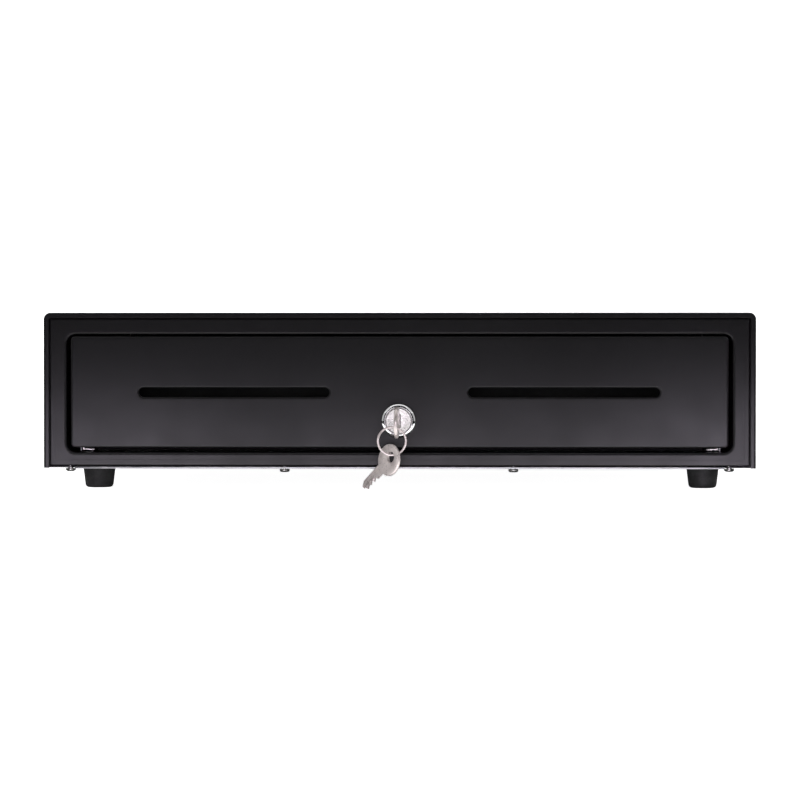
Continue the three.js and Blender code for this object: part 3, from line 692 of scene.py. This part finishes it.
def buildLock():
    size = {"height": 39.7, "barrel": 8.3, "bore": 7.4, "plug": 7.15,
            "slot": (1.3, 4.1), "plugFace": -2.7}
    z = size["height"]
    housing = [(size["bore"], -2.4), (size["bore"] + 0.05, -2.9), (size["bore"] + 0.2, -3.15), (7.8, -3.28),
               (8.0, -3.3), (8.2, -3.25), (9.45, -2.35), (9.75, -2.05), (9.93, -1.6), (10, -1.0), (10, 0.2),
               (9.8, 0.5), (size["barrel"], 0.5), (size["barrel"], 21.6), (8.0, 22), (size["bore"], 22)]
    addPiece("lock_body", [lathe(housing, 0, z, around=True)], chrome, "drawer", ("lock_housing",))
    w, h = size["slot"]
    keyway = roundRect(-w, w, z - h, z + h, 0.5, 3)
    p, f = size["plug"], size["plugFace"]
    shapes = [pierced(circle(0, z, p - 0.9, 64), [keyway], f)]
    rings = [atDepth(circle(0, z, r, 64), d) for r, d in
             ((p - 0.9, f), (p - 0.6, f - 0.12), (p - 0.3, f - 0.1), (p - 0.08, f + 0.1), (p, f + 0.4), (p, 24.2),
              (p - 0.3, 24.5))]
    shapes.append(loft(rings, endCap=True))
    shapes.append(loft([atDepth(keyway, f), atDepth(keyway, 15.5)], endCap=True))
    addPiece("lock_barrel_plug", shapes, plugNickel(), "lock", ("lock_plug",))


keySize = {"head": 9.1, "holeOut": 2.6, "tip": 26.6, "half": 3.2, "thick": 2.0,
           "cuts": ((12.0, 0), (13.6, 0), (15.0, 1.7), (16.0, 1.7), (17.2, 0.4), (18.4, 2.3), (19.3, 2.3),
                    (20.5, 0.7), (21.6, 1.5), (22.6, 1.5), (24.0, 0.3), (26.6, 2.6))}


def keyShapes(holeRadius):
    # drawn flat from the middle of the head: blade along u, thickness along w
    s, t = keySize, keySize["thick"] / 2
    count = 96
    head, hole = [], []
    for r, w in ((s["head"] - 0.55, -t), (s["head"] - 0.2, -t + 0.1), (s["head"], -t + 0.45),
                 (s["head"], t - 0.45), (s["head"] - 0.2, t - 0.1), (s["head"] - 0.55, t)):
        head.append([(u, v, w) for u, v in circle(0, 0, r, count)])
    h = holeRadius
    for r, w in ((h + 0.35, t), (h + 0.1, t - 0.1), (h, t - 0.35), (h, -t + 0.35), (h + 0.1, -t + 0.1),
                 (h + 0.35, -t)):
        hole.append([(u, v, w) for u, v in circle(-s["holeOut"], 0, r, count)])
    shapes = [loft(head + hole, around=True)]

    def cutAt(u):
        last = s["cuts"][0]
        for point in s["cuts"]:
            if u <= point[0]:
                span = point[0] - last[0]
                return last[1] if span == 0 else last[1] + (point[1] - last[1]) * (u - last[0]) / span
            last = point
        return last[1]

    stations = sorted(set([5.2, 7.0, 8.2] + [p[0] for p in s["cuts"]] + [25.2, 26.1, 26.6]))
    rings = []
    for u in stations:
        half = s["half"] if u < 24.2 else s["half"] - (u - 24.2) * 0.9
        widen = max(0, 8.2 - u) * 0.3
        top = half + widen - (cutAt(u) if u < 26.6 else 2.6)
        low = -half - widen
        top = max(top, low + 1.6)
        b = t * 0.92
        g = 0.42 if u > 6 else 0.05  # milled grooves, one on each face
        rings.append([(u, v, w) for v, w in (
            (top, -0.35), (top, 0.35), (min(top - 0.5, 2.6), b), (min(1.1, top - 0.6), b), (min(0.8, top - 0.7), b - g),
            (-0.1, b - g), (-0.4, b), (low + 0.35, b), (low, b - 0.35), (low, -b + 0.35), (low + 0.35, -b),
            (-1.9, -b), (-1.6, -b + g), (-0.7, -b + g), (-0.4, -b), (min(top - 0.5, 2.6), -b))])
    shapes.append(loft(rings, startCap=True, endCap=True))
    return shapes


def posedKey(name, along, face, hole, holeRadius, body, node):
    u = Vector(along).normalized()
    w = Vector(face)
    w = (w - w.dot(u) * u).normalized()
    v = w.cross(u)
    turn = Matrix((u, v, w)).transposed()
    shapes = []
    shift = Vector((keySize["holeOut"], 0, 0))
    for verts, faces in keyShapes(holeRadius):
        shapes.append(([tuple(turn @ (Vector(p) + shift) + Vector(hole)) for p in verts], faces))
    return addPiece(name, shapes, nickel, body, (node,), sharpAngle=30)


def buildRing():
    size = {"centre": (-3.3, 28.7), "depth": -17.98, "radius": 7.95, "wire": (0.6, 0.3), "turns": 1.93,
            "start": 151, "ramp": 34}
    cx, cz = size["centre"]
    total = 360 * size["turns"]
    rings = []
    steps = 230
    for i in range(steps + 1):
        a = total * i / steps
        lift = min(max((a - 360 + size["ramp"] * 0.5) / size["ramp"], 0), 1)
        lift = lift * lift * (3 - 2 * lift)
        depth = size["depth"] + (0.5 - lift) * 2 * size["wire"][1]
        angle = math.radians(size["start"] + a)
        half, thick = size["wire"]
        taper = min(1, 0.55 + min(i, steps - i) * 0.25)
        ring = []
        for k in range(12):
            q = 2 * math.pi * k / 12
            out = half * taper * math.copysign(abs(math.cos(q)) ** 0.7, math.cos(q))
            side = thick * taper * math.copysign(abs(math.sin(q)) ** 0.7, math.sin(q))
            ring.append((cx + (size["radius"] + out) * math.cos(angle), depth + side,
                         cz + (size["radius"] + out) * math.sin(angle)))
        rings.append(ring)
    return addPiece("split_ring", [loft(rings, startCap=True, endCap=True)], nickel, "ring",
                    ("key_ring",), sharpAngle=50)


buildLock()
keyHole = (-0.769, -17.98, 39.059)
posedKey("door_key", (math.sin(math.radians(3)), math.cos(math.radians(3)), math.sin(math.radians(2.5))),
         (1, -math.tan(math.radians(3)), 0), keyHole, 4.3, "lock", "key_inserted")
posedKey("door_key_spare", (-16.3, 16.0, -18.1), (-0.75, -0.655, 0.095), (-3.4, -17.98, 19.4), 3.1, "spare",
         "key_spare")
buildRing()
print("lock and keys made")


# casing's other parts

def buildCasingInside():
    size = {"bevel": 0.35, "screw": (2.9, 1.7), "screwDepth": 5.5, "screwX": (-190, -66, 66, 190),
            "plateLow": 12.0,
            "footX": 176.5, "footDepth": (30, 385), "socketX": 120, "contactPitch": 1.2}
    bevelledCopy("back_panel", paint, size["bevel"], sharpAngle=15)
    bevelledCopy("bottom_plate", galvanised, 0.3)
    bevelledCopy("cable_socket", plastic, 0.4)
    for hand in ("left", "right"):
        bevelledCopy(f"rail_bracket_{hand}", galvanised, 0.45)
        bevelledCopy(f"slide_outer_{hand}", steel, 0.3)
        bevelledCopy(f"slide_middle_{hand}", steel, 0.3)
        bevelledCopy(f"slide_inner_{hand}", steel, 0.3)
    bevelledCopy("latch_bracket", galvanised, 0.3)
    bevelledCopy("latch_pin", steel, 0.3)
    bevelledCopy("drawer_switch", plastic, 0.5)
    bevelledCopy("ejector_guide", galvanised, 0.3)
    for i, x in enumerate(size["screwX"]):
        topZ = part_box(f"case_screw_{i + 1}")[0].z / mm + size["screw"][1]
        shank = loft([[(px, pd, z) for px, pd in circle(x, size["screwDepth"], r, 24)]
                      for r, z in ((1.5, topZ - 0.2), (1.5, 17.2), (1.1, 18.0))], startCap=True, endCap=True)
        addPiece(f"case_screw_shank_{i + 1}", [shank], steel, "casing", (f"case_screw_{i + 1}",))
    screwHead = headShape("panHead", *size["screw"], True)
    low = {i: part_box(f"case_screw_{i + 1}")[0].z / mm for i in range(4)}
    points = [(x, size["screwDepth"], low[i] + size["screw"][1], down) for i, x in enumerate(size["screwX"])]
    grown("case_screw_heads", heads, points, {"Head": screwHead}, steel, "casing")
    under = [(side * x, d, size["plateLow"], down) for side in (-1, 1) for x, d in
             ((150, 60), (150, 355), (60, 399), (120, 399))]
    grown("plate_screws", heads, under, {"Head": screwHead}, steel, "casing")
    feetScrews = [(side * size["footX"], d, 3.0, down) for side in (-1, 1) for d in size["footDepth"]]
    smallHead = headShape("footScrewHead", 3.0, 1.6, True)
    grown("foot_screws", heads, feetScrews, {"Head": smallHead}, steel, "casing")
    rivets = [(side * 184.9, d, z, left if side > 0 else right) for side in (-1, 1)
              for d in (30, 150, 270, 390) for z in (43,)]
    flat = headShape("slideRivet", 2.4, 0.25, False)
    onWeb = [(x * 184.6 / 184.9, d, z, aim) for x, d, z, aim in rivets]
    grown("slide_rivets", heads, onWeb, {"Head": flat}, steel, "casing")
    inner = [(side * 175.8, d, 43, left if side > 0 else right) for side in (-1, 1) for d in (40, 195, 350)]
    thin = headShape("boxRivet", 2.2, 0.25, False)
    grown("box_rivets", heads, inner, {"Head": thin}, steel, "drawer")
    contacts = []
    for i in range(6):
        x = size["socketX"] + (i - 2.5) * size["contactPitch"]
        line = [(413.2, 48.9), (409.5, 48.9), (405.8, 47.6)]
        corners = ((-1, -1), (1, -1), (1, 1), (-1, 1))
        contacts.append(loft([[(x + sx * 0.22, d, z + sz * 0.1) for sx, sz in corners] for d, z in line],
                             startCap=True, endCap=True))
    addPiece("socket_contacts", contacts, brass, "casing")


def buildSolenoid():
    size = {"x": 30, "z": 51, "reach": (374.5, 392), "half": 9, "winding": 7.6, "bore": 3.25, "plate": 1.5}
    x, z, (d0, d1) = size["x"], size["z"], size["reach"]
    w, t = size["half"] - 0.05, size["plate"]
    bottom = z - size["half"] + 0.35

    def square(half, depth):
        return atDepth(roundRect(x - half, x + half, max(z - half, bottom), z + half - 0.35, 0.6, 3), depth)

    frameRings = [square(w, d0 + 0.2), square(w, d0 + t - 0.2)]
    shapes = [loft(frameRings, startCap=True, endCap=True)]
    ringed = [(size["bore"], d1), (size["bore"], d1 - t), (w - 0.2, d1 - t), (w - 0.2, d1 - 0.3), (w - 0.6, d1)]
    shapes.append(lathe(ringed, x, z, 48, around=True))
    for sx in (-1, 1):
        across = sorted((x + sx * w, x + sx * (w - t)))
        shapes.append(block(across, (d0 + 0.2, d1 - 0.2), (bottom, z + w - 0.4), 0.3))
    addPiece("solenoid_frame", shapes, galvanised, "casing", ("solenoid",))
    wound = [(size["bore"] + 0.3, d0 + t + 0.2), (size["winding"] - 0.3, d0 + t + 0.2),
             (size["winding"], d0 + t + 0.6), (size["winding"], d1 - t - 0.6), (size["winding"] - 0.3, d1 - t - 0.2),
             (size["bore"] + 0.3, d1 - t - 0.2)]
    profile = []
    for i in range(9):
        d = d0 + t + 0.6 + (d1 - d0 - 2 * t - 1.2) * i / 8
        profile.append((size["winding"] - (0.12 if i % 2 else 0), d))
    addPiece("solenoid_winding", [lathe(wound[:2] + profile + wound[4:], x, z, 48, around=True)], tape, "casing",
             sharpAngle=60)
    rod = [(0.6, 385.0), (2.4, 385.0), (2.95, 385.5), (2.95, 397.0), (2.2, 397.3), (2.2, 398.9), (2.95, 399.2),
           (2.95, 400.8), (2.4, 401.3), (0.6, 401.3)]
    addPiece("solenoid_rod", [lathe(rod, x, z, 40)], steel, "plunger", ("solenoid_plunger",))


def buildEjector():
    size = {"x": -110, "z": 50, "face": 7.4, "rod": 4.8}
    profile = [(0.5, 371.6), (6.6, 371.6), (7.2, 371.9), (size["face"], 372.5), (size["face"], 374.4), (7.1, 374.9),
               (size["rod"], 375), (size["rod"], 397.4), (4.3, 398), (0.5, 398)]
    addPiece("ejector_buffer", [lathe(profile, size["x"], size["z"], 48)], plastic, "ejector",
             ("ejector_plunger",))


# drawer's other parts

def buildDrawerInside():
    size = {"edge": 0.4}
    # the box's darker paint is painted shade for the gap under the drawer front
    bevelledCopy("drawer_box", boxPaintWithPaintedShade(), size["edge"])
    bevelledCopy("striker", steel, 0.4)
    bevelledCopy("lock_nut", steel, 0.5)
    bevelledCopy("lock_cam", steel, 0.35)
    bevelledCopy("till_tray", plastic, 0.6, 3)
    bevelledCopy("clip_shaft", steel, 0.4)
    bevelledCopy("latch_hook", steel, 0.3)
    bevelledCopy("switch_lever", steel, 0.2)
    for hand in ("left", "right"):
        bevelledCopy(f"media_chute_{hand}", galvanised, 0.3)
    for i in range(4):
        bevelledCopy(f"bill_divider_{i + 1}", plastic, 0.6, 3)


def buildCoinCups():
    size = {"wall": 1.6, "rim": 0.7, "draft": 1.2, "corner": 5, "floor": 1.6, "scoop": 26, "steps": 9}
    for bay in range(1, 6):
        low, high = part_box(f"coin_cup_{bay}")
        x0, x1 = low.x / mm, high.x / mm
        d0, d1 = (low.y - frontY) / mm, (high.y - frontY) / mm
        z0, z1 = low.z / mm, high.z / mm

        def ring(inset, z, frontIn=0, backIn=0):
            r = max(size["corner"] - inset, 1)
            return [(x, d, z) for x, d in roundRect(x0 + inset, x1 - inset, d0 + inset + frontIn,
                                                    d1 - inset - backIn, r, 6)]

        t, f = size["wall"], size["draft"]
        rings = [ring(f + 2.0, z0), ring(f + 1.0, z0 + 0.3), ring(f + 0.4, z0 + 1.2), ring(f, z0 + 3),
                 ring(size["rim"], z1 - 3.0), ring(size["rim"], z1 - 2.2), ring(0.1, z1 - 2.0), ring(0, z1 - 1.8),
                 ring(0, z1 - 0.4), ring(0.3, z1), ring(t - 0.4, z1), ring(t, z1 - 0.4), ring(t, z1 - 3)]
        deep, floor = z1 - 3, z0 + size["floor"]
        for i in range(1, size["steps"] + 1):
            a = math.radians(90 * i / size["steps"])
            z = deep - (deep - floor) * math.sin(a)
            rings.append(ring(t + f * math.sin(a) + 1.2 * (1 - math.cos(a)), z, size["scoop"] * (1 - math.cos(a)),
                              size["scoop"] * 0.55 * (1 - math.cos(a))))
        addPiece(f"coin_bowl_{bay}", [loft(rings, startCap=True, endCap=True)], plastic, "drawer",
                 (f"coin_cup_{bay}",))


def buildClips():
    size = {"axis": (357, 76), "reach": 97, "droop": 21, "hub": 4.45, "bore": 2.3,
            "roller": 3.35, "rollerHalf": 23.9, "coil": 3.1, "wire": 0.4}
    d, z = size["axis"]
    c, s = math.cos(math.radians(size["droop"])), math.sin(math.radians(size["droop"]))

    def at(far, lift):
        return d - far * c - lift * s, z - far * s + lift * c

    for bay in range(1, 6):
        low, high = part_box(f"bill_clip_{bay}")
        x = (low.x + high.x) / 2 / mm
        shapes = []
        stations = [(3.6, 7.0), (8, 7.0), (14, 6.4), (40, 5.6), (70, 5.6), (84, 6.6), (95.5, 7.0)]
        rings = []
        for far, half in stations:
            ribbed = 0.55 if 10 < far < 90 else 0.15
            line = [(-half, -0.6), (-half, 0.6), (-half + 0.3, 0.9), (-2.2, 0.9), (-1.4, 0.9 + ribbed),
                    (1.4, 0.9 + ribbed), (2.2, 0.9), (half - 0.3, 0.9), (half, 0.6), (half, -0.6),
                    (half - 0.3, -0.9), (-half + 0.3, -0.9)]
            rings.append([(x + across, *at(far, lift)) for across, lift in line])
        shapes.append(loft(rings, startCap=True, endCap=True))
        hub = [(size["bore"], 9), (size["hub"] - 0.4, 9), (size["hub"], 8.6), (size["hub"], -8.6),
               (size["hub"] - 0.4, -9), (size["bore"], -9)]
        count = 32
        shapes.append(loft([[(x + h, pd, pz) for pd, pz in circle(d, z, r, count)] for r, h in hub], around=True))
        addPiece(f"clip_arm_{bay}", shapes, steel, f"clip_{bay}", (f"bill_clip_{bay}",))
        rollerD, rollerZ = at(size["reach"], 0)
        profile = [(0.8, size["rollerHalf"])]
        h = size["rollerHalf"]
        while h > -size["rollerHalf"] + 1:
            profile += [(size["roller"] - 0.3, h), (size["roller"], h - 0.4), (size["roller"], h - 2.4),
                        (size["roller"] - 0.3, h - 2.8)]
            h -= 3.0
        profile += [(size["roller"] - 0.3, -size["rollerHalf"]), (0.8, -size["rollerHalf"])]
        roller = loft([[(x + h, pd, pz) for pd, pz in circle(rollerD, rollerZ, r, count)] for r, h in profile],
                      startCap=True, endCap=True)
        addPiece(f"clip_roller_{bay}", [roller], plastic, f"clip_{bay}", sharpAngle=50)
        ends = [(x + side * 9.3, d, z, right if side > 0 else left) for side in (-1, 1)]
        grown(f"clip_spring_{bay}", coils, ends,
              {"Coil Radius": size["coil"] * mm, "Wire Radius": size["wire"] * mm, "Turns": 5.0, "Length": 4.6 * mm},
              steel, f"clip_{bay}")


buildCasingInside()
buildSolenoid()
buildEjector()
print("casing parts made")
buildDrawerInside()
buildCoinCups()
buildClips()
print("drawer parts made")


# stage, light and camera

def buildStage():
    size = {"radius": 6.0, "bend": 1.2, "wallHigh": 3.6, "around": 96, "glow": 0.97}
    white = bpy.data.materials.new("stageWhite")
    white.use_nodes = True
    shader = white.node_tree.nodes["Principled BSDF"]
    shader.inputs["Base Color"].default_value = (0.93, 0.93, 0.93, 1)
    shader.inputs["Roughness"].default_value = 0.9
    shader.inputs["Emission Color"].default_value = (1, 1, 1, 1)
    shader.inputs["Emission Strength"].default_value = size["glow"]
    # a round floor with its wall curved up on every side, so each view has the same plain ground
    start, bend, count = size["radius"] - size["bend"], size["bend"], size["around"]
    profile = [(1.0, 0), (3.0, 0), (start, 0)]
    profile += [(start + bend * math.sin(math.radians(a)), bend - bend * math.cos(math.radians(a)))
                for a in range(10, 91, 10)] + [(size["radius"], size["wallHigh"])]
    bm = bmesh.new()
    rings = [[bm.verts.new((x, y, z)) for x, y in circle(0, 0, r, count)] for r, z in profile]
    bm.faces.new(rings[0])
    for inner, outer in zip(rings, rings[1:]):
        for i in range(count):
            j = (i + 1) % count
            bm.faces.new((inner[i], outer[i], outer[j], inner[j]))
    mesh = bpy.data.meshes.new("sweep")
    bm.to_mesh(mesh)
    bm.free()
    for polygon in mesh.polygons:
        polygon.use_smooth = True
    sweep = bpy.data.objects.new("sweep", mesh)
    sweep.data.materials.append(white)
    bpy.context.scene.collection.objects.link(sweep)
    sweep.visible_glossy = False


def softbox(name, place, aim, size, power):
    data = bpy.data.lights.new(name, "AREA")
    data.shape = "RECTANGLE"
    data.size, data.size_y = size
    data.energy = power
    lamp = bpy.data.objects.new(name, data)
    lamp.location = place
    lamp.rotation_euler = (Vector(aim) - Vector(place)).to_track_quat("-Z", "Y").to_euler()
    lamp.visible_camera = False
    bpy.context.scene.collection.objects.link(lamp)
    return lamp


def buildLight():
    world = bpy.data.worlds.new("studio")
    bpy.context.scene.world = world
    world.use_nodes = True
    world.node_tree.nodes["Background"].inputs["Color"].default_value = (0.9, 0.92, 1, 1)
    world.node_tree.nodes["Background"].inputs["Strength"].default_value = 0.01
    softbox("ceiling", (0, 0.3, 2.6), (0, 0.3, 0), (3.2, 3.2), 30)
    # low strips in front give the face its glow from below, fading upwards
    strips = (("stripLeft", -0.25, 0.029), ("stripMiddle", 0.01, 0.0145), ("stripRight", 0.27, 0.033))
    for name, x, power in strips:
        strip = softbox(name, (x, frontY - 0.25, 0), (x, frontY, 0), (0.25, 0.05), power)
        strip.data.spread = math.radians(48)
        strip.data.color = (1, 0.91, 1.06)
    for side in (-1, 1):
        softbox("sideCard", (side * 1.1, frontY - 0.1, 0.35), (0, frontY, 0.1), (0.9, 0.7), 1.0)
        softbox("upperCard", (side * 0.8, frontY - 0.37, 0.84), (0, frontY, 0.04), (0.62, 0.62), 0.8)
    softbox("frontCard", (-0.06, frontY - 2.0, -0.01), (0, frontY, 0.04), (0.3, 0.3), 0.6)
    # a faint strip on the floor draws the bright line along the rolled edges
    softbox("edgeStrip", (0, frontY - 0.045, 0.002), (0, frontY - 0.045, 1), (0.4, 0.05), 0.11)
    # cards behind and beside, all back of the face, draw the top, the sides and the rear
    softbox("rearCard", (0, 3.2, 1.5), (0, 0, 0.05), (4.5, 1.6), 34)
    softbox("rearStrip", (0, 0.55, 0.004), (0, 0.2, 0.03), (0.5, 0.06), 0.12)
    softbox("rearLow", (0, 2.4, 0.25), (0, 0.2, 0.05), (2.4, 0.4), 2.2)
    for side in (-1, 1):
        softbox("flankCard", (side * 3.0, 1.1, 1.2), (0, 0.1, 0.05), (2.0, 1.5), 13)
        softbox("flankStrip", (side * 0.55, 0.08, 0.004), (side * 0.2, 0.08, 0.03), (0.06, 0.3), 0.09)
    bpy.context.scene.view_settings.view_transform = "Standard"


def buildCamera():
    size = {"distance": 1.7, "height": 0.085, "right": 0.05, "seenWidth": 0.4599, "aim": (0.0008, 0.0517)}
    data = bpy.data.cameras.new("studioCamera")
    data.sensor_width = 36
    camera = bpy.data.objects.new("studioCamera", data)
    place = Vector((size["right"], frontY - size["distance"], size["height"]))
    aim = Vector((size["aim"][0], frontY, size["aim"][1]))
    data.lens = 36 * (aim - place).length / size["seenWidth"]
    camera.location = place
    camera.rotation_euler = (aim - place).to_track_quat("-Z", "Y").to_euler()
    bpy.context.scene.collection.objects.link(camera)
    bpy.context.scene.camera = camera


buildStage()
buildLight()
buildCamera()
print("stage and light made")
